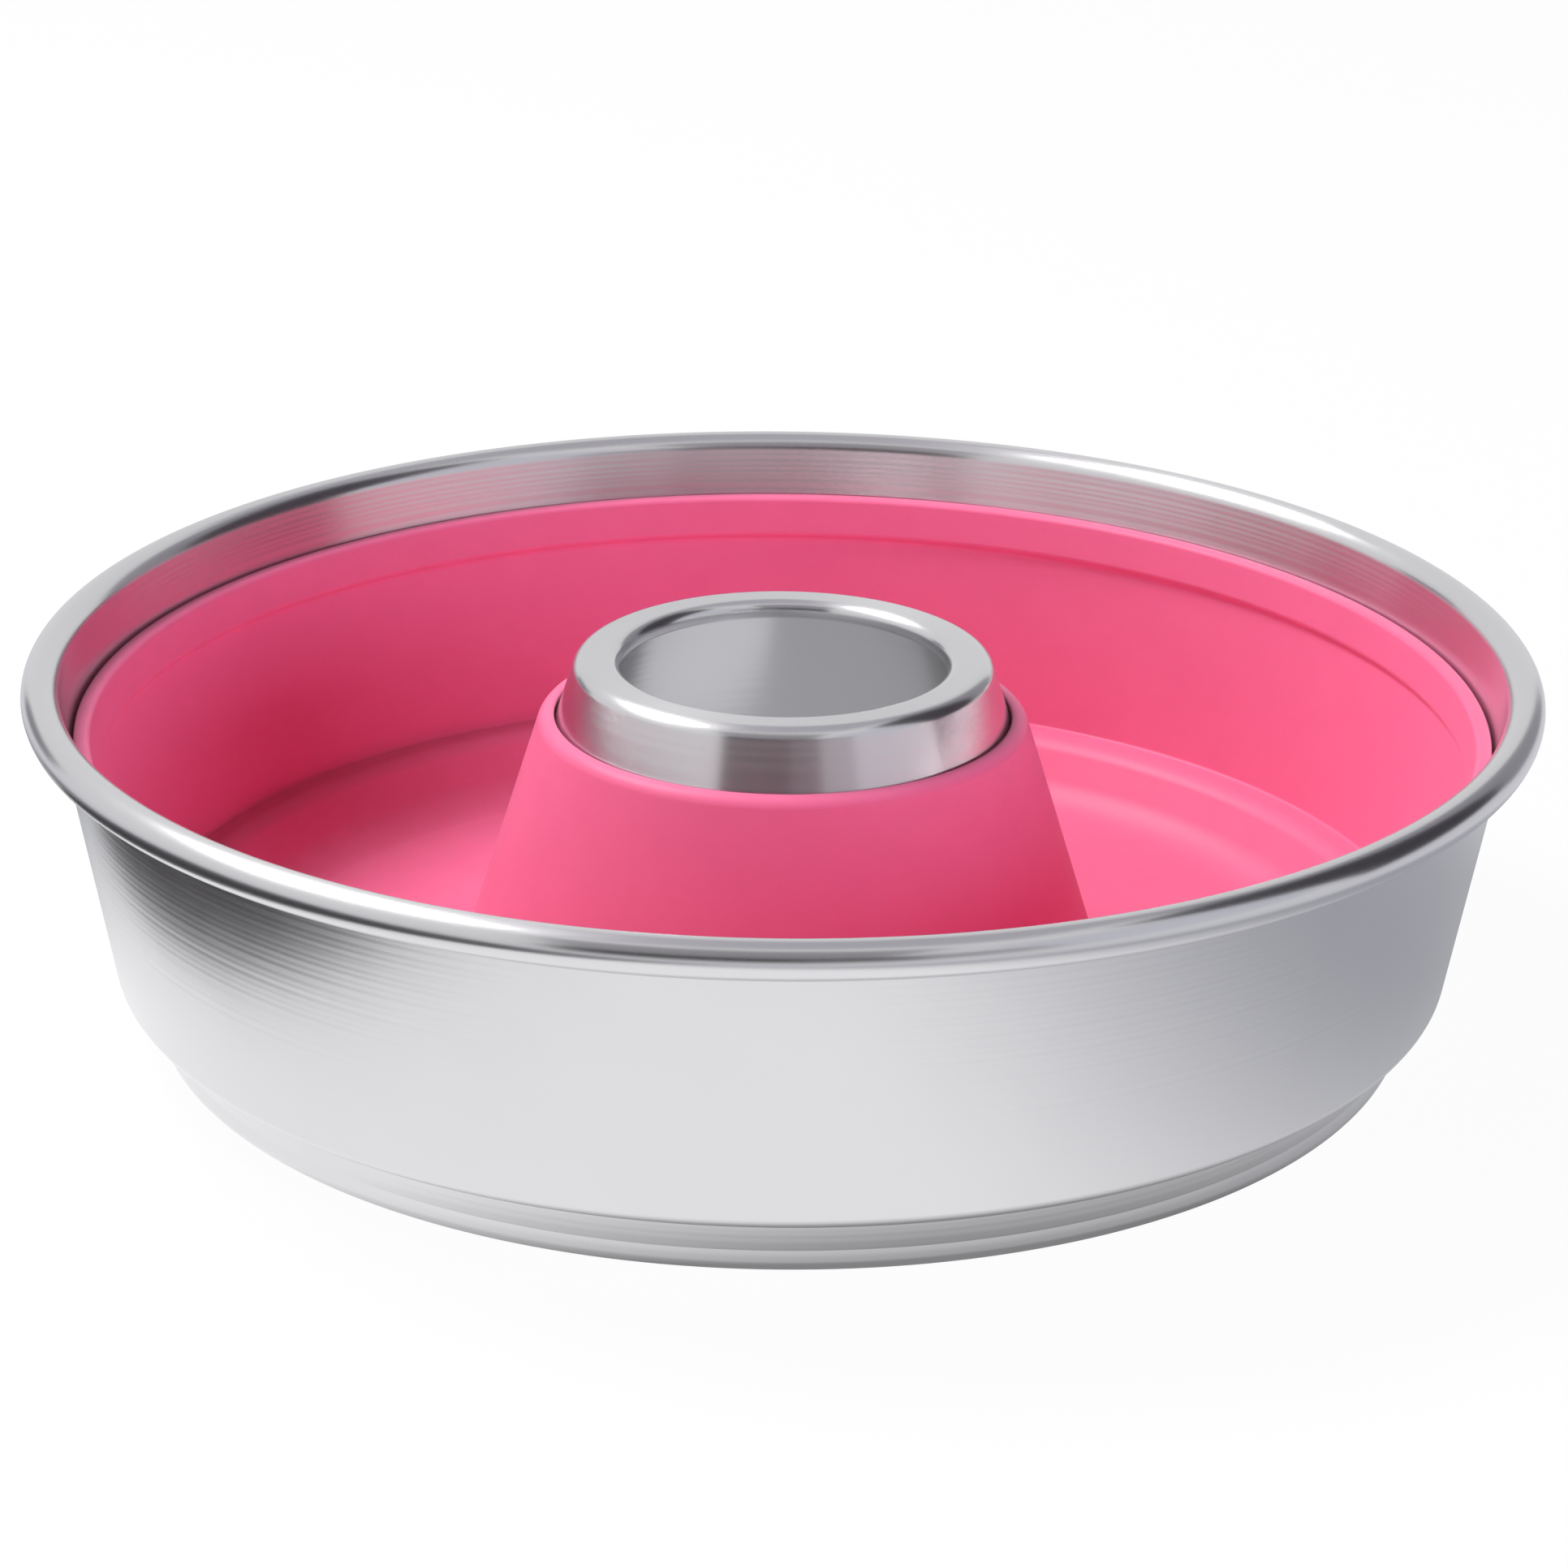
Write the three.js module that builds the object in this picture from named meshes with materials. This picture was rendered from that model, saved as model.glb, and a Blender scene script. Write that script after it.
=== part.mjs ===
import * as THREE from "three";

// Soft silicone ring mould lying in a spun aluminium ring pan. Millimetres, +Z up, the base stands on z = 0.

// Ring pan: one aluminium sheet from the rolled rim to the lip of the chimney.
const RIM_RADIUS = 125; // outside of the rolled rim
const PAN_HEIGHT = 61.85; // base to the top of the rolled rim
const SHEET = 1.2; // sheet thickness
const BEAD_RADIUS = 3.1; // outside of the rolled tube along the rim
const BEAD_GAP = 0.4; // slit left between the rolled edge and the wall
const WALL_DRAFT = 10.4; // lean of the wall, degrees
const SHELF_HEIGHT = 9.95; // base to the underside of the shelf
const SHELF_WIDTH = 4.6; // wall to foot, along the middle of the sheet
const SHELF_BEND = 2.4; // bend from wall to shelf, middle of the sheet
const STEP_BEND = 1.8; // bend from shelf to foot
const FOOT_UPRIGHT = 4; // upright stretch at the bottom of the foot
const FOOT_DRAFT = 15; // lean of the foot above that stretch, degrees
const FOOT_BEND = 0.8; // bend between the two stretches
const BASE_BEND = 1.4; // bend from foot to base
const CHIMNEY_RADIUS = 34.4; // outside of the chimney, carried on to its top face
const CHIMNEY_DROP = 0.9; // rim top down to the chimney's top face
const CHIMNEY_DRAFT = 17.3; // lean of the chimney, degrees
const CHIMNEY_BEND = 5; // bend from base to chimney
const SHOULDER_BEND = 2; // bend from chimney to its top face
const LIP_WIDTH = 7.1; // chimney radius less the radius of the hole in it
const LIP_BEND = 1.3; // bend from the top face down into the hole
const LIP_DEPTH = 3; // top face down to the sheet's edge in the hole

// Silicone mould: follows the pan's inside with clearance all round.
const MOULD_DROP = 10.5; // pan rim down to the mould's rim
const SIDE_GAP = 0.5; // level gap to the pan's wall and to the edge of its shelf
const SEAT_GAP = 0.3; // gap over the pan's base and shelf
const CONE_GAP = 0.5; // level gap round the chimney
const MOULD_WALL = 1.5; // level thickness of the wall
const BAND_EXTRA = 1.1; // how far the rim band stands in from the wall
const BAND_HEIGHT = 6.8; // height of the rim band
const BAND_STEP = 1.3; // height of the soft step below the rim band
const BAND_SHARE = 0.48; // share of that step that each of its two arcs takes
const FLOOR = 1.1; // thickness of floor and shelf
const STEP_WALL = 2.6; // level thickness of the step between shelf and floor
const STEP_DRAFT = 36; // lean of the step's two faces, degrees
const CONE_WALL = 2.4; // level thickness of the cone
const RIM_ROUND = 1; // rounding of the rim's inner edge
const EDGE_ROUND = 0.35; // rounding of the edges next to the pan's wall and chimney
const COLLAR_ROUND = 2.5; // rounding of the cone's top edge
const CREASE_ROUND = 0.6; // rounding along the foot of the wall
const SHELF_SHARE = 0.18; // share of the step's face that the rounding at its top takes
const STEP_SHARE = 0.42; // share of the step's face that the rounding at its foot takes
const TROUGH_ROUND = 4; // rounding along the foot of the cone

const TURNS = 56; // flats round the circle
const ARC_STEP = 30; // degrees between points of a bend

const rad = THREE.MathUtils.degToRad;
const slope = (degrees) => Math.tan(rad(degrees));

// Points of the arc that rounds corner b of the path a, b, c.
function corner(a, b, c, radius) {
  const into = new THREE.Vector2().subVectors(b, a).normalize();
  const out = new THREE.Vector2().subVectors(c, b).normalize();
  const turn = Math.atan2(into.cross(out), into.dot(out));
  const side = Math.sign(turn);
  const reach = radius * Math.tan(Math.abs(turn) / 2);
  const start = b.clone().addScaledVector(into, -reach);
  const centre = start.clone().add(new THREE.Vector2(-into.y, into.x).multiplyScalar(side * radius));
  const steps = Math.max(1, Math.round(Math.abs(THREE.MathUtils.radToDeg(turn)) / ARC_STEP));
  const points = [];
  for (let i = 0; i <= steps; i += 1) {
    points.push(start.clone().rotateAround(centre, (turn * i) / steps));
  }
  return points;
}

// Open path through [r, z, bend] corners, with its bends as arcs.
function bentPath(corners) {
  const at = corners.map(([r, z]) => new THREE.Vector2(r, z));
  const path = [at[0]];
  for (let i = 1; i < at.length - 1; i += 1) {
    path.push(...corner(at[i - 1], at[i], at[i + 1], corners[i][2]));
  }
  path.push(at[at.length - 1]);
  return path;
}

// Closed outline through [r, z, rounding] corners.
function roundedOutline(corners) {
  const at = corners.map(([r, z]) => new THREE.Vector2(r, z));
  const last = at.length - 1;
  return at.flatMap((p, i) => {
    const before = at[i === 0 ? last : i - 1];
    const after = at[i === last ? 0 : i + 1];
    return corner(before, p, after, corners[i][2]);
  });
}

// Closed outline of a sheet that lies half its thickness to each side of a path.
function sheetOutline(path, thickness) {
  const left = [];
  const right = [];
  path.forEach((p, i) => {
    const before = path[Math.max(i - 1, 0)];
    const after = path[Math.min(i + 1, path.length - 1)];
    const into = i > 0 ? new THREE.Vector2().subVectors(p, before) : new THREE.Vector2().subVectors(after, p);
    const out = i < path.length - 1 ? new THREE.Vector2().subVectors(after, p) : into.clone();
    const along = into.normalize().add(out.normalize());
    const reach = thickness / along.length();
    along.normalize();
    left.push(new THREE.Vector2(p.x - along.y * reach, p.y + along.x * reach));
    right.push(new THREE.Vector2(p.x + along.y * reach, p.y - along.x * reach));
  });
  return [...left, ...right.reverse()];
}

// Solid of a closed outline turned once round Z.
function turned(outline, name, material) {
  const profile = THREE.ShapeUtils.isClockWise(outline) ? [...outline].reverse() : [...outline];
  profile.push(profile[0]);
  const geometry = new THREE.LatheGeometry(profile, TURNS);
  geometry.rotateX(Math.PI / 2);
  const mesh = new THREE.Mesh(geometry, material);
  mesh.name = name;
  return mesh;
}

// Middle of the sheet along the pan's wall and chimney.
const half = SHEET / 2;
const beadMiddle = BEAD_RADIUS - half;
const beadR = RIM_RADIUS - BEAD_RADIUS;
const beadZ = PAN_HEIGHT - BEAD_RADIUS;
const lean = rad(WALL_DRAFT);
const wallTopR = beadR - beadMiddle * Math.cos(lean);
const wallTopZ = beadZ + beadMiddle * Math.sin(lean);
const wallMiddle = (z) => wallTopR - (wallTopZ - z) * slope(WALL_DRAFT);
const chimneyTop = PAN_HEIGHT - CHIMNEY_DROP;
const chimneyOutside = (z) => CHIMNEY_RADIUS + (chimneyTop - z) * slope(CHIMNEY_DRAFT);
const chimneyMiddle = (z) => chimneyOutside(z) - half / Math.cos(rad(CHIMNEY_DRAFT));
const shelfZ = SHELF_HEIGHT + half;
const footTopR = wallMiddle(shelfZ) - SHELF_WIDTH;
const footR = footTopR - (shelfZ - FOOT_UPRIGHT) * slope(FOOT_DRAFT);
const holeR = CHIMNEY_RADIUS - LIP_WIDTH;

// Rolled rim: the sheet curls outwards from the wall and stops a slit short of it.
const curlEnd = Math.PI - lean;
const curlStart = curlEnd - 2 * Math.PI + Math.acos(1 - (SHEET + BEAD_GAP) / beadMiddle);
const curlSteps = Math.round(THREE.MathUtils.radToDeg(curlEnd - curlStart) / ARC_STEP);
const curl = [];
for (let i = 0; i <= curlSteps; i += 1) {
  const a = curlStart + ((curlEnd - curlStart) * i) / curlSteps;
  curl.push(new THREE.Vector2(beadR + beadMiddle * Math.cos(a), beadZ + beadMiddle * Math.sin(a)));
}

// Wall, shelf, foot, base and chimney down to the sheet's edge in the hole.
const walls = bentPath([
  [wallTopR, wallTopZ],
  [wallMiddle(shelfZ), shelfZ, SHELF_BEND],
  [footTopR, shelfZ, STEP_BEND],
  [footR, FOOT_UPRIGHT, FOOT_BEND],
  [footR, half, BASE_BEND],
  [chimneyMiddle(half), half, CHIMNEY_BEND],
  [chimneyMiddle(chimneyTop - half), chimneyTop - half, SHOULDER_BEND],
  [holeR + half, chimneyTop - half, LIP_BEND],
  [holeR + half, chimneyTop - LIP_DEPTH],
]);
const aluminium = new THREE.MeshStandardMaterial({ color: "#c9c8ca", roughness: 0.32, metalness: 1 });
const ringPan = turned(sheetOutline([...curl, ...walls.slice(1)], SHEET), "ring_pan", aluminium);

// Mould: outer face along the pan's inside, then up the chimney, over and back through the trough.
const rimZ = PAN_HEIGHT - MOULD_DROP;
const underZ = SHEET + SEAT_GAP;
const floorZ = underZ + FLOOR;
const shelfUnderZ = SHELF_HEIGHT + SHEET + SEAT_GAP;
const shelfFloorZ = shelfUnderZ + FLOOR;
const bandZ = rimZ - BAND_HEIGHT;
const wallFace = (z) => wallMiddle(z) - half / Math.cos(lean) - SIDE_GAP;
const stepTop = footTopR - half / Math.cos(rad(FOOT_DRAFT)) - SIDE_GAP;
const stepFace = (z) => stepTop - (shelfUnderZ - z) * slope(STEP_DRAFT);
const coneFace = (z) => chimneyOutside(z) + CONE_GAP;
const stepInner = (z) => stepFace(z) - STEP_WALL;
const stepReach = (shelfFloorZ - floorZ) / Math.cos(rad(STEP_DRAFT)) / slope(45 - STEP_DRAFT / 2);
const bandLength = Math.hypot(BAND_STEP, BAND_EXTRA - BAND_STEP * slope(WALL_DRAFT));
const bandTurn = lean + Math.atan(BAND_EXTRA / BAND_STEP - slope(WALL_DRAFT));
const bandRound = (BAND_SHARE * bandLength) / Math.tan(bandTurn / 2);
const mouldOutline = roundedOutline([
  [wallFace(rimZ), rimZ, EDGE_ROUND],
  [wallFace(shelfUnderZ), shelfUnderZ, SHELF_BEND + SIDE_GAP],
  [stepTop, shelfUnderZ, STEP_BEND],
  [stepFace(underZ), underZ, BASE_BEND + SIDE_GAP],
  [coneFace(underZ), underZ, CHIMNEY_BEND + CONE_GAP],
  [coneFace(rimZ), rimZ, EDGE_ROUND],
  [coneFace(rimZ) + CONE_WALL, rimZ, COLLAR_ROUND],
  [coneFace(floorZ) + CONE_WALL, floorZ, TROUGH_ROUND],
  [stepInner(floorZ), floorZ, STEP_SHARE * stepReach],
  [stepInner(shelfFloorZ), shelfFloorZ, SHELF_SHARE * stepReach],
  [wallFace(shelfFloorZ) - MOULD_WALL, shelfFloorZ, CREASE_ROUND],
  [wallFace(bandZ - BAND_STEP) - MOULD_WALL, bandZ - BAND_STEP, bandRound],
  [wallFace(bandZ) - MOULD_WALL - BAND_EXTRA, bandZ, bandRound],
  [wallFace(rimZ) - MOULD_WALL - BAND_EXTRA, rimZ, RIM_ROUND],
]);
const silicone = new THREE.MeshStandardMaterial({ color: "#e8608a", roughness: 0.45, metalness: 0 });
const siliconeMould = turned(mouldOutline, "silicone_mould", silicone);

const part = new THREE.Group();
part.name = "bundt_mould_in_ring_pan";
part.add(ringPan, siliconeMould);
export default part;
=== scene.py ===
import math

import bmesh
import bpy
from mathutils import Matrix, Vector


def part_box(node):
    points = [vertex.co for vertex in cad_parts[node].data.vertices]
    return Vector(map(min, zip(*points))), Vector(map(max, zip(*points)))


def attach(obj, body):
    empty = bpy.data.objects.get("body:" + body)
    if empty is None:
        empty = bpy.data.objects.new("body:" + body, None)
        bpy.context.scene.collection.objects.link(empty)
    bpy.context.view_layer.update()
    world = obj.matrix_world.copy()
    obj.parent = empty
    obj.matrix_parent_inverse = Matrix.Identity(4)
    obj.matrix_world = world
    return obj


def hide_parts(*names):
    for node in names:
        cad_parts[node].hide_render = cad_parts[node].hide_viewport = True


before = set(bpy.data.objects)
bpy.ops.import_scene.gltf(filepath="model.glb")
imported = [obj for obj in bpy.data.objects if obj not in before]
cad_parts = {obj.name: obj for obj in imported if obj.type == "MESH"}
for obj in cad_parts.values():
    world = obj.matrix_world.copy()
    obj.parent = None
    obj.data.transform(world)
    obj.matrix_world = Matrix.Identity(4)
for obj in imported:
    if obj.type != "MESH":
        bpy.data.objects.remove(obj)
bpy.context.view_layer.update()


# Ring pan: one disc of bare aluminium, spun over a chuck into wall, shelf, foot and centre chimney, with its
# outer edge rolled over into a bead. It stands on its foot and carries the mould.
MM = 0.001  # sizes of the pan and the mould are in millimetres
pan_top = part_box("ring_pan")[1] / MM
sheet = 1.2
bead_radius = 3.1
bead_slit = 0.4  # left between the rolled edge and the wall
wall_lean = math.radians(10.4)
shelf_height = 9.95
shelf_width = 4.6
shelf_bend = 2.4  # this and the other bends are radii along the middle of the sheet
step_bend = 1.8
foot_upright = 4.0  # height of the foot's upright part
foot_lean = math.radians(15)
foot_bend = 0.8
base_bend = 1.4
chimney_radius = 34.4
chimney_drop = 0.9  # bead top down to the chimney's top face
chimney_lean = math.radians(17.3)
chimney_bend = 5.0
shoulder_bend = 2.0
lip_width = 7.1  # from the chimney's radius in to its hole
lip_bend = 1.3
lip_depth = 3.0  # from the top face down into the hole
cut_edge = 0.45  # rounding of the sheet's cut edges
weld = 0.001  # points nearer than this become one
curl_steps = 40
bend_steps = 8
turn_steps = 224

half_sheet = sheet / 2
curl = bead_radius - half_sheet  # middle of the sheet in the bead
bead_r = pan_top.x - bead_radius
bead_z = pan_top.z - bead_radius
wall_top_r = bead_r - curl * math.cos(wall_lean)
wall_top_z = bead_z + curl * math.sin(wall_lean)
chimney_top = pan_top.z - chimney_drop
shelf_middle = shelf_height + half_sheet


def wall_middle(z):
    """Radius of the middle of the sheet along the wall."""
    return wall_top_r - (wall_top_z - z) * math.tan(wall_lean)


def chimney_outside(z):
    """Radius of the chimney's outer face."""
    return chimney_radius + (chimney_top - z) * math.tan(chimney_lean)


def chimney_middle(z):
    """Radius of the middle of the sheet along the chimney."""
    return chimney_outside(z) - half_sheet / math.cos(chimney_lean)


def profile(mesh, corners, closed):
    """Wire through (radius, height, bend) corners in the XZ plane; gives its first vertex."""
    points = [Vector((r, 0, z)) * MM for r, z, bend in corners]
    dots = [mesh.verts.new(point) for point in points]
    for here, there in zip(dots, dots[1:]):
        mesh.edges.new((here, there))
    if closed:
        mesh.edges.new((dots[-1], dots[0]))
    for i, (r, z, bend) in enumerate(corners):
        if bend == 0:
            continue
        into = points[i] - points[i - 1]
        out = points[(i + 1) % len(points)] - points[i]
        reach = bend * MM * math.tan(into.angle(out) / 2)
        bmesh.ops.bevel(mesh, geom=[dots[i]], offset=reach, offset_type="OFFSET", affect="VERTICES",
                        segments=bend_steps, profile=0.5, material=-1)
    return dots[0]


def turn(mesh, name):
    """Turns the wire in the mesh once round Z and gives the shape as an object."""
    bmesh.ops.spin(mesh, geom=mesh.verts[:] + mesh.edges[:], cent=(0, 0, 0), axis=(0, 0, 1),
                   angle=math.tau, steps=turn_steps, use_merge=True)
    bmesh.ops.remove_doubles(mesh, verts=mesh.verts, dist=weld * MM)
    bmesh.ops.recalc_face_normals(mesh, faces=mesh.faces)
    for face in mesh.faces:
        face.smooth = True
    data = bpy.data.meshes.new(name)
    mesh.to_mesh(data)
    mesh.free()
    piece = bpy.data.objects.new(name, data)
    bpy.context.scene.collection.objects.link(piece)
    return piece


foot_top_r = wall_middle(shelf_middle) - shelf_width
foot_r = foot_top_r - (shelf_middle - foot_upright) * math.tan(foot_lean)
lip_r = chimney_radius - lip_width + half_sheet
pan_wire = bmesh.new()
wall_top = profile(pan_wire, [
    (wall_top_r, wall_top_z, 0),
    (wall_middle(shelf_middle), shelf_middle, shelf_bend),
    (foot_top_r, shelf_middle, step_bend),
    (foot_r, foot_upright, foot_bend),
    (foot_r, half_sheet, base_bend),
    (chimney_middle(half_sheet), half_sheet, chimney_bend),
    (chimney_middle(chimney_top - half_sheet), chimney_top - half_sheet, shoulder_bend),
    (lip_r, chimney_top - half_sheet, lip_bend),
    (lip_r, chimney_top - lip_depth, 0),
], closed=False)
curl_turn = math.tau - math.acos(1 - (sheet + bead_slit) / curl)
bmesh.ops.spin(pan_wire, geom=[wall_top], cent=Vector((bead_r, 0, bead_z)) * MM, axis=(0, 1, 0),
               angle=curl_turn, steps=curl_steps)
ring_pan = turn(pan_wire, "spun_ring_pan")

thickness = ring_pan.modifiers.new("sheet thickness", "SOLIDIFY")
thickness.thickness = sheet * MM
thickness.offset = 0
thickness.use_even_offset = True
edges = ring_pan.modifiers.new("broken edges of the cut sheet", "BEVEL")
edges.width = cut_edge * MM
edges.segments = 2
edges.limit_method = "ANGLE"
edges.angle_limit = math.radians(60)
ring_pan.modifiers.new("flats keep their own shading", "WEIGHTED_NORMAL")


def linear(hex_colour):
    """Scene-linear RGBA of an sRGB hex colour."""
    parts = [int(hex_colour[i:i + 2], 16) / 255 for i in (1, 3, 5)]
    return [p / 12.92 if p <= 0.04045 else ((p + 0.055) / 1.055) ** 2.4 for p in parts] + [1]


def add(tree, kind, settings={}, links={}):
    """Adds a shader node; settings name its properties and input sockets, links its input sockets."""
    made = tree.nodes.new("ShaderNode" + kind)
    for name, value in settings.items():
        if isinstance(name, str) and hasattr(made, name):
            setattr(made, name, value)
        else:
            made.inputs[name].default_value = value
    for name, source in links.items():
        tree.links.new(source, made.inputs[name])
    return made


def new_material(name):
    """A node material with nothing in it but its output node."""
    material = bpy.data.materials.new(name)
    material.use_nodes = True
    material.node_tree.nodes.clear()
    return material, add(material.node_tree, "OutputMaterial")


# Bare aluminium, spun: a silvery mirror blurred by the roller's fine turning lines, which run round the pan
# and stretch highlights across themselves. Handling leaves faint clouds on it.
turning_pitch = 1.0  # mm; the real lines are about 0.9 mm apart, drawn a little coarser so that they show
turning_depth = 0.016  # mm
radius_share = 0.8  # carries the lines on over the flat faces, where the height stays the same
across_the_lines = 0.25  # of a full turn
cloud_size = 14  # mm
spun_aluminium, output = new_material("spun aluminium")
tree = spun_aluminium.node_tree
place = add(tree, "TexCoord").outputs["Object"]
height = add(tree, "SeparateXYZ", {}, {"Vector": place}).outputs["Z"]
level = add(tree, "VectorMath", {"operation": "MULTIPLY", 1: (1, 1, 0)}, {0: place})
radius = add(tree, "VectorMath", {"operation": "LENGTH"}, {0: level.outputs["Vector"]})
along = add(tree, "Math", {"operation": "MULTIPLY_ADD", 1: radius_share},
            {0: radius.outputs["Value"], 2: height})
lines = add(tree, "TexNoise", {"noise_dimensions": "1D", "Scale": 1 / (turning_pitch * MM), "Detail": 0.0},
            {"W": along.outputs["Value"]})
grooves = add(tree, "Bump", {"Strength": 1.0, "Distance": turning_depth * MM},
              {"Height": lines.outputs["Fac"]})
clouds = add(tree, "TexNoise", {"Scale": 1 / (cloud_size * MM), "Detail": 4.0, "Roughness": 0.6},
             {"Vector": place})
satin = add(tree, "MapRange", {"To Min": 0.2, "To Max": 0.26}, {"Value": clouds.outputs["Fac"]})
round_pan = add(tree, "Tangent", {"direction_type": "RADIAL", "axis": "Z"})
surface = add(tree, "BsdfPrincipled", {"Base Color": linear("#dad9dc"), "Metallic": 1.0, "Anisotropic": 0.7,
                                       "Anisotropic Rotation": across_the_lines},
              {"Roughness": satin.outputs["Result"], "Normal": grooves.outputs["Normal"],
               "Tangent": round_pan.outputs["Tangent"]})
tree.links.new(surface.outputs["BSDF"], output.inputs["Surface"])
ring_pan.data.materials.append(spun_aluminium)

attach(ring_pan, "pan")
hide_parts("ring_pan")


# Silicone mould: one soft moulding that lies loose in the pan and follows its inside, with a cone over the
# chimney, a shelf above the pan's shelf and a thicker band along its rim. It lifts straight out.
mould_drop = 10.5  # pan rim down to the mould's rim
side_gap = 0.5  # to the pan's wall
seat_gap = 0.3  # over the pan's base and shelf
cone_gap = 0.5  # round the chimney
mould_wall = 1.5
band_extra = 1.1  # how far the rim band stands in from the wall
band_height = 6.8
band_step = 1.0  # height of the ledge below the band
band_share = 0.42  # of that ledge, taken by each of its two arcs
floor_thickness = 1.1
step_wall = 2.6
step_lean = math.radians(36)
cone_wall = 2.4
rim_round = 1.0
edge_round = 0.35  # next to the pan's wall and chimney
collar_round = 2.5  # round the top of the cone
crease_round = 0.6  # along the foot of the wall
shelf_round = 4.35  # along the edge of the shelf
step_round = 10.14  # along the foot of the step
trough_round = 4.0  # along the foot of the cone

rim_z = pan_top.z - mould_drop
under_z = sheet + seat_gap
floor_z = under_z + floor_thickness
shelf_under_z = shelf_height + sheet + seat_gap
shelf_floor_z = shelf_under_z + floor_thickness
band_z = rim_z - band_height
step_top_r = foot_top_r - half_sheet / math.cos(foot_lean) - side_gap
band_inset = band_extra - band_step * math.tan(wall_lean)
band_turn = wall_lean + math.atan(band_inset / band_step)
band_round = band_share * math.hypot(band_step, band_inset) / math.tan(band_turn / 2)


def wall_face(z):
    """Radius of the mould's outer face along the pan's wall."""
    return wall_middle(z) - half_sheet / math.cos(wall_lean) - side_gap


def step_face(z):
    """Radius of the mould's outer face along its step."""
    return step_top_r - (shelf_under_z - z) * math.tan(step_lean)


def cone_face(z):
    """Radius of the mould's inner face round the chimney."""
    return chimney_outside(z) + cone_gap


mould_wire = bmesh.new()
profile(mould_wire, [
    (wall_face(rim_z), rim_z, edge_round),
    (wall_face(shelf_under_z), shelf_under_z, shelf_bend + side_gap),
    (step_top_r, shelf_under_z, step_bend),
    (step_face(under_z), under_z, base_bend + side_gap),
    (cone_face(under_z), under_z, chimney_bend + cone_gap),
    (cone_face(rim_z), rim_z, edge_round),
    (cone_face(rim_z) + cone_wall, rim_z, collar_round),
    (cone_face(floor_z) + cone_wall, floor_z, trough_round),
    (step_face(floor_z) - step_wall, floor_z, step_round),
    (step_face(shelf_floor_z) - step_wall, shelf_floor_z, shelf_round),
    (wall_face(shelf_floor_z) - mould_wall, shelf_floor_z, crease_round),
    (wall_face(band_z - band_step) - mould_wall, band_z - band_step, band_round),
    (wall_face(band_z) - mould_wall - band_extra, band_z, band_round),
    (wall_face(rim_z) - mould_wall - band_extra, rim_z, rim_round),
], closed=True)
silicone_mould = turn(mould_wire, "pink_silicone_mould")
silicone_mould.modifiers.new("flats keep their own shading", "WEIGHTED_NORMAL")

# Pink silicone rubber, moulded in a polished tool: a saturated satin surface with soft broad highlights and a
# little light carried through the thin walls.
mottle_size = 9  # mm
grain_size = 0.5  # mm; the skin's own grain is finer, drawn coarser so that it can show
grain_depth = 0.02  # mm
light_reach = 1.5  # mm that light travels below the skin
pink_silicone, output = new_material("moulded silicone rubber")
tree = pink_silicone.node_tree
place = add(tree, "TexCoord").outputs["Object"]
mottle = add(tree, "TexNoise", {"Scale": 1 / (mottle_size * MM), "Detail": 5.0, "Roughness": 0.65},
             {"Vector": place})
pink = add(tree, "ValToRGB", {}, {"Fac": mottle.outputs["Fac"]})
pink.color_ramp.elements[0].color = linear("#ea6e99")
pink.color_ramp.elements[1].color = linear("#f276a1")
grain = add(tree, "TexNoise", {"Scale": 1 / (grain_size * MM), "Detail": 2.0}, {"Vector": place})
skin = add(tree, "Bump", {"Strength": 0.15, "Distance": grain_depth * MM}, {"Height": grain.outputs["Fac"]})
satin = add(tree, "MapRange", {"To Min": 0.4, "To Max": 0.48}, {"Value": mottle.outputs["Fac"]})
surface = add(tree, "BsdfPrincipled", {"IOR": 1.41, "Specular IOR Level": 0.25, "Subsurface Weight": 0.1,
                                       "Subsurface Scale": light_reach * MM,
                                       "Subsurface Radius": (1.0, 0.35, 0.4),
                                       "Sheen Weight": 0.1, "Sheen Roughness": 0.4},
              {"Base Color": pink.outputs["Color"], "Roughness": satin.outputs["Result"],
               "Normal": skin.outputs["Normal"]})
tree.links.new(surface.outputs["BSDF"], output.inputs["Surface"])
silicone_mould.data.materials.append(pink_silicone)

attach(silicone_mould, "mould")
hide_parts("silicone_mould")


# Floor: a plain white table that runs out of sight on every side. It shows white to the camera and keeps a
# soft shadow of the pan. In mirrors it shows a painted pool of light at the front left, painted grey around
# that and a painted shadow below the pan.
table_size = 6.0  # m
table_drop = 0.02 * MM  # keeps the table clear of the pan's foot
table_white_share = 0.96  # of what the camera sees; the rest carries the shadow
painted_shade_middle = Vector((6, -20, 0)) * MM  # of the painted shadow below the pan
painted_shade_radius = 86 * MM
painted_shade_end = 98 * MM
painted_pool_middle = Vector((-75, -120, 0)) * MM  # of the painted pool of light
painted_pool_radius = 100 * MM
painted_pool_end = 330 * MM
painted_grey_from = 0.61  # of the way from the painted pool's radius to its end, where the painted grey is deepest
painted_grey_to = 0.72
table_mesh = bmesh.new()
bmesh.ops.create_grid(table_mesh, x_segments=1, y_segments=1, size=table_size / 2,
                      matrix=Matrix.Translation((0, 0, -table_drop)))
table_data = bpy.data.meshes.new("white_table")
table_mesh.to_mesh(table_data)
table_mesh.free()
white_table = bpy.data.objects.new("white_table", table_data)
bpy.context.scene.collection.objects.link(white_table)
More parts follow.
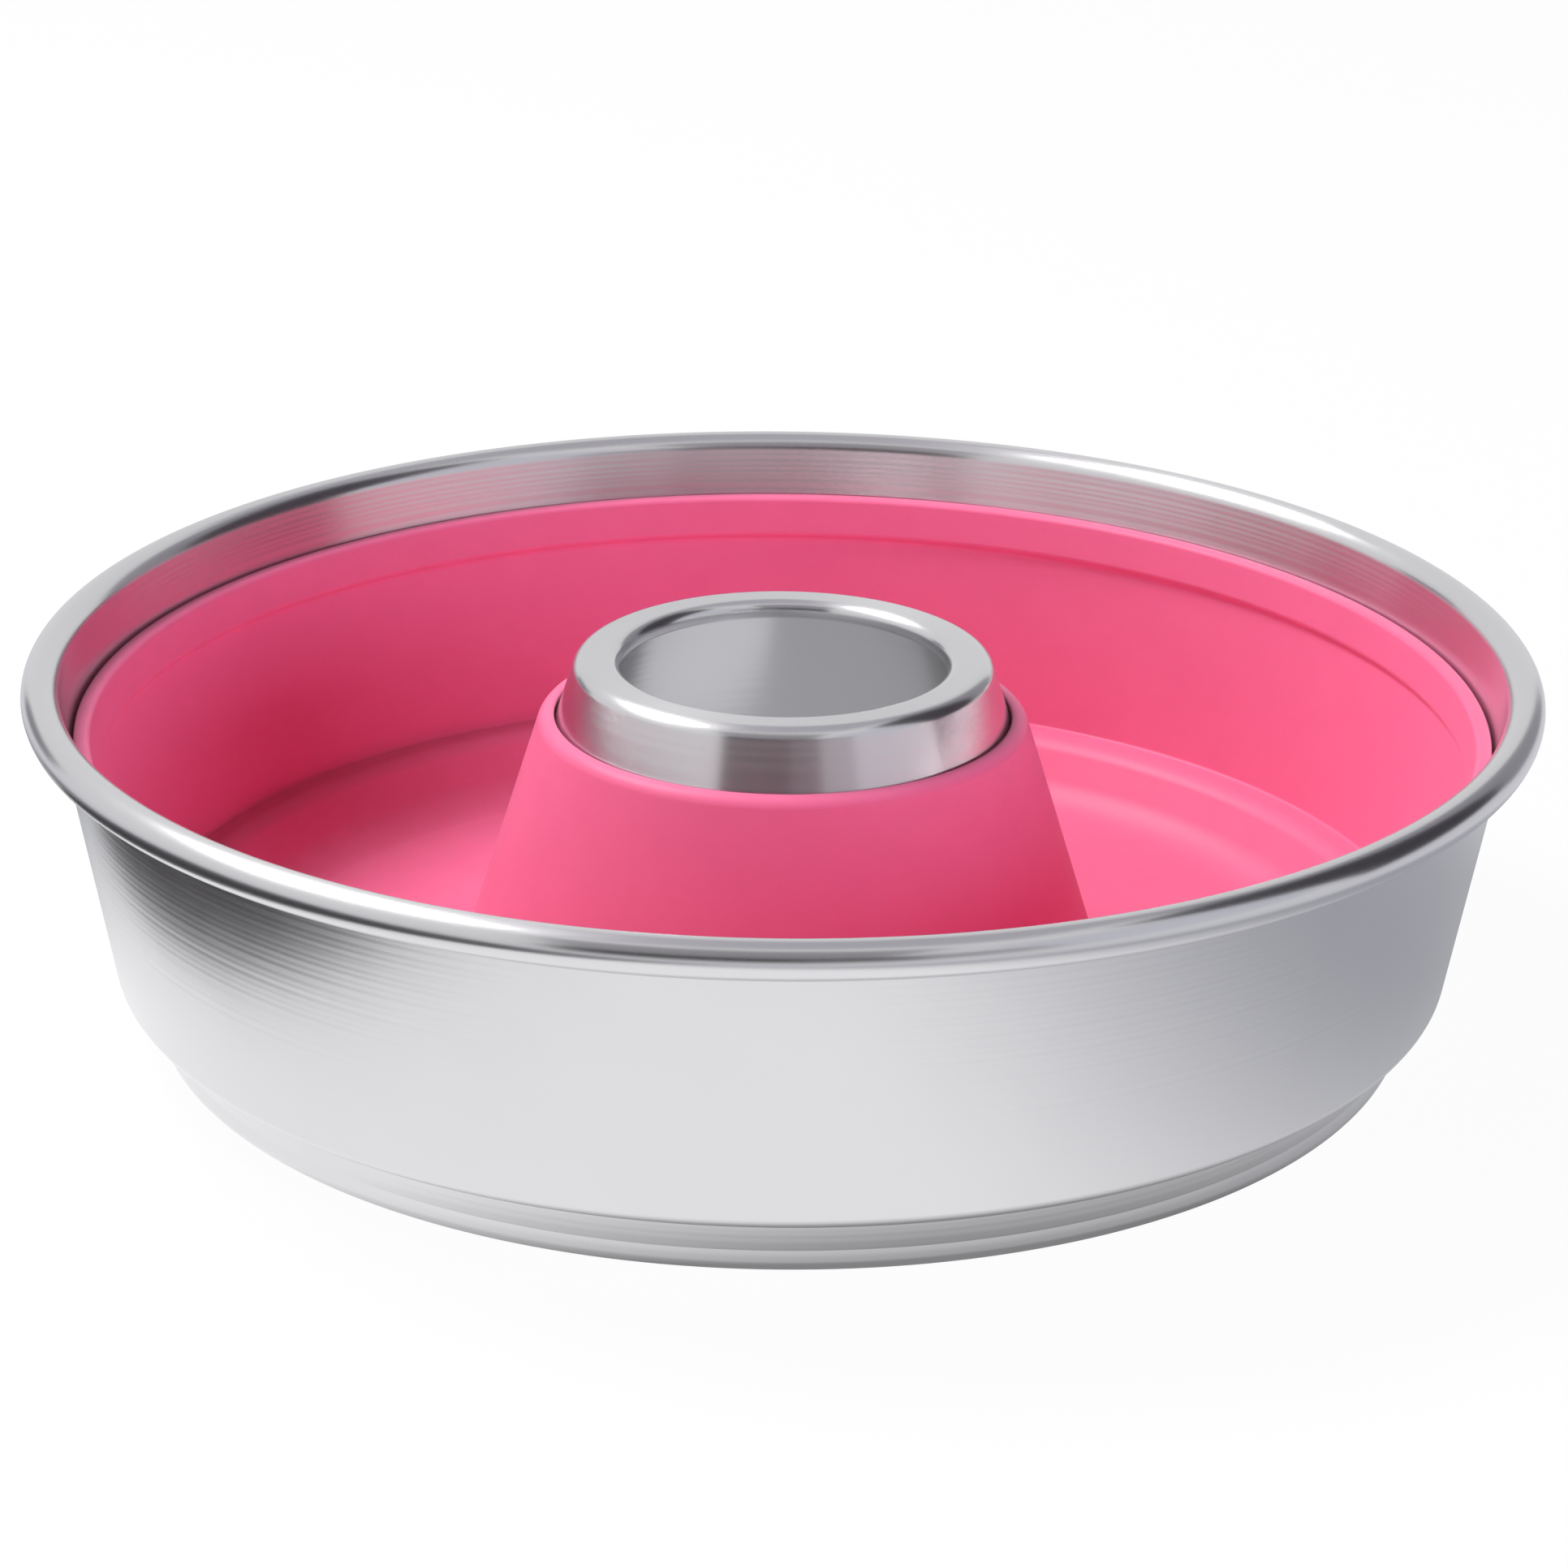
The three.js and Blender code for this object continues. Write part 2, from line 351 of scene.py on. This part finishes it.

# White lacquer, sprayed on board: matt and even, with no grain. Light Path tells what the camera sees from
# what mirrors see: mirrors see a glow with painted light and shade in place of the lacquer.
lacquer_and_painted_glow, output = new_material("sprayed white lacquer and painted glow")
tree = lacquer_and_painted_glow.node_tree
ray = add(tree, "LightPath")
place = add(tree, "TexCoord").outputs["Object"]
# Painted shadow: mirrors see the table's glow dimmed to 0.32 below the pan, rising to 1.08 beside it.
away = add(tree, "VectorMath", {"operation": "DISTANCE", 1: painted_shade_middle}, {0: place})
painted_shade_below_pan = add(tree, "MapRange", {"From Min": painted_shade_radius, "From Max": painted_shade_end, "To Min": 0.32,
                                "To Max": 1.08}, {"Value": away.outputs["Value"]})
# Painted pool of light: white at the front left, fading through painted grey to a paler grey further out.
painted_pool_distance = add(tree, "VectorMath", {"operation": "DISTANCE", 1: painted_pool_middle}, {0: place})
painted_pool_fade = add(tree, "MapRange", {"From Min": painted_pool_radius, "From Max": painted_pool_end},
           {"Value": painted_pool_distance.outputs["Value"]})
painted_pool_tone = add(tree, "ValToRGB", {}, {"Fac": painted_pool_fade.outputs["Result"]})
painted_pool_tone.color_ramp.elements[0].color = linear("#ffffff")
painted_pool_tone.color_ramp.elements[1].color = linear("#d9dade")
for stop in (painted_grey_from, painted_grey_to):
    painted_pool_tone.color_ramp.elements.new(stop).color = linear("#acaeb3")
painted_pool_tone.color_ramp.interpolation = "EASE"
paint = add(tree, "BsdfDiffuse", {"Color": linear("#f4f4f4")})
# The glow that mirrors see: painted pool of light, painted grey and painted shadow below the pan.
mirrored = add(tree, "Emission", {}, {"Color": painted_pool_tone.outputs["Color"], "Strength": painted_shade_below_pan.outputs["Result"]})
white = add(tree, "Emission", {"Color": linear("#ffffff"), "Strength": 1.0})
lit = add(tree, "MixShader", {}, {"Fac": ray.outputs["Is Glossy Ray"], 1: paint.outputs["BSDF"],
                                  2: mirrored.outputs["Emission"]})
seen = add(tree, "Math", {"operation": "MULTIPLY", 1: table_white_share}, {0: ray.outputs["Is Camera Ray"]})
blend = add(tree, "MixShader", {}, {"Fac": seen.outputs["Value"], 1: lit.outputs["Shader"],
                                    2: white.outputs["Emission"]})
tree.links.new(blend.outputs["Shader"], output.inputs["Surface"])
white_table.data.materials.append(lacquer_and_painted_glow)


# Studio: a pale room, a key light high at the back left, and a softbox on either side of the camera that
# mirrors don't see. Grey cards that only mirrors see give the metal its dark edges and half tones.
def direction(azimuth, elevation):
    """Unit vector to a place in the studio; azimuth 0 is behind the pan and 90 to its right."""
    a, e = math.radians(azimuth), math.radians(elevation)
    return Vector((math.sin(a) * math.cos(e), math.cos(a) * math.cos(e), math.sin(e)))


def softbox(name, azimuth, elevation, distance, width, tall, radiance, colour, mirrored):
    """A rectangular area lamp that faces the pan, in degrees and metres; radiance is power / (pi * area)."""
    lamp = bpy.data.lights.new(name, "AREA")
    lamp.shape = "RECTANGLE"
    lamp.size = width
    lamp.size_y = tall
    lamp.energy = radiance * math.pi * width * tall
    lamp.color = linear(colour)[:3]
    holder = bpy.data.objects.new(name, lamp)
    holder.location = direction(azimuth, elevation) * distance
    holder.rotation_euler = holder.location.to_track_quat("Z", "Y").to_euler()
    holder.visible_glossy = mirrored
    bpy.context.scene.collection.objects.link(holder)


softbox("key_light", -62, 58, 1.3, 0.55, 0.5, 20.5, "#fffdfa", True)
softbox("softbox_left", -125, 30, 1.1, 1.0, 0.9, 1.5, "#fffdfa", False)
softbox("softbox_right", 125, 17, 1.1, 0.8, 0.4, 7.0, "#eef2ff", False)


def card(name, stand, width, tall, grey):
    """A flat grey card, in metres, that shows in mirrors only; stand places it."""
    mesh = bmesh.new()
    bmesh.ops.create_grid(mesh, x_segments=1, y_segments=1, size=0.5,
                          matrix=stand @ Matrix.Diagonal((width, tall, 1, 1)))
    data = bpy.data.meshes.new(name)
    mesh.to_mesh(data)
    mesh.free()
    cloth, output = new_material(name + " cloth")
    glow = add(cloth.node_tree, "Emission", {"Color": linear(grey), "Strength": 1.0})
    cloth.node_tree.links.new(glow.outputs["Emission"], output.inputs["Surface"])
    data.materials.append(cloth)
    piece = bpy.data.objects.new(name, data)
    for rays in ("camera", "diffuse", "transmission", "volume_scatter", "shadow"):
        setattr(piece, "visible_" + rays, False)
    bpy.context.scene.collection.objects.link(piece)


def flag(name, azimuth, elevation, distance, width, tall, grey):
    """A card that stands in the studio, in degrees and metres, and faces the pan."""
    out = direction(azimuth, elevation)
    facing = out.to_track_quat("Z", "Y").to_matrix().to_4x4()
    card(name, Matrix.Translation(out * distance) @ facing, width, tall, grey)


# Cards at the right, round the camera, overhead and at the back left.
flag("flag_right", 78, 34, 0.8, 0.56, 0.86, "#444247")
flag("flag_right_back", 47, 25, 0.85, 0.4, 1.1, "#98979c")
flag("flag_camera", -167, 19, 1.6, 1.04, 0.53, "#121011")
flag("flag_camera_right", 168, 19, 1.55, 0.44, 0.52, "#5a585c")
flag("flag_camera_far_right", 151, 20, 1.5, 0.48, 0.5, "#a3a2a7")
flag("flag_camera_top", -172, 46, 1.6, 1.26, 1.1, "#9a989b")
flag("card_right", 122, 30, 1.1, 0.8, 0.8, "#d3d5dc")
flag("flag_above", 0, 74, 1.2, 1.0, 1.3, "#bab9be")
flag("flag_left_back", -47, 6, 1.0, 0.32, 0.3, "#807f84")

# Two cards below the open chimney, whose bore mirrors them. The paler one lies on the other, at its right.
grey_card = 72 * MM
grey_card_place = Vector((0, 0, 0.4)) * MM
pale_card_width = 40 * MM
pale_card_length = 66 * MM
pale_card_place = Vector((24, 0, 0.6)) * MM
card("card_under_chimney", Matrix.Translation(grey_card_place), grey_card, grey_card, "#b2b2b4")
card("card_under_chimney_right", Matrix.Translation(pale_card_place), pale_card_width, pale_card_length,
     "#e0e0e2")

# A dark card on the table at the left of the pan, with a paler strip along its back edge.
table_card = 500 * MM
table_card_corner = Vector((-165, 42, 1)) * MM  # the corner nearest to the pan's left side
table_card_turn = math.radians(15)
strip_width = 50 * MM
strip_shift = 10 * MM  # away from the pan
corner = Matrix.Translation(table_card_corner) @ Matrix.Rotation(table_card_turn, 4, "Z")
card_middle = Vector((-table_card / 2, -table_card / 2, 0))
strip_middle = Vector((-table_card / 2 - strip_shift, strip_width / 2, 0))
card("flag_table", corner @ Matrix.Translation(card_middle), table_card, table_card, "#403e41")
card("flag_table_back", corner @ Matrix.Translation(strip_middle), table_card, strip_width, "#88878a")

room_light = 0.04  # from the room on everything matt
room_mirrored = 0.77  # added to it where a mirror sees the room
room = bpy.data.worlds.new("pale room")
bpy.context.scene.world = room
room.use_nodes = True
tree = room.node_tree
tree.nodes.clear()
ray = add(tree, "LightPath")
seen = add(tree, "Math", {"operation": "MULTIPLY_ADD", 1: 1 - room_light, 2: room_light},
           {0: ray.outputs["Is Camera Ray"]})
strength = add(tree, "Math", {"operation": "MULTIPLY_ADD", 1: room_mirrored},
               {0: ray.outputs["Is Glossy Ray"], 2: seen.outputs["Value"]})
light = add(tree, "Background", {"Color": linear("#feffff")}, {"Strength": strength.outputs["Value"]})
add(tree, "OutputWorld", {}, {"Surface": light.outputs["Background"]})


# Camera: a long lens in front of the pan and a little above it, as the photograph was taken. Its place and
# its angles were fitted to the outlines of rim, chimney, mould and base.
photo_side = 1932  # px
focal_px = 6119.0
camera_place = Vector((0, -773.13, 339.28)) * MM
camera_tilt = math.radians(21.275)  # down from level
camera_roll = math.radians(0.603)
camera_turn = math.radians(-0.022)
lens = bpy.data.cameras.new("photo_camera")
lens.sensor_fit = "HORIZONTAL"
lens.sensor_width = 36
lens.lens = lens.sensor_width * focal_px / photo_side
lens.clip_start = 0.05
lens.clip_end = 20
camera = bpy.data.objects.new("photo_camera", lens)
camera.matrix_world = (Matrix.Translation(camera_place) @ Matrix.Rotation(camera_turn, 4, "Z")
                       @ Matrix.Rotation(math.pi / 2 - camera_tilt, 4, "X")
                       @ Matrix.Rotation(camera_roll, 4, "Z"))
bpy.context.scene.collection.objects.link(camera)
bpy.context.scene.camera = camera
bpy.context.scene.view_settings.view_transform = "Standard"
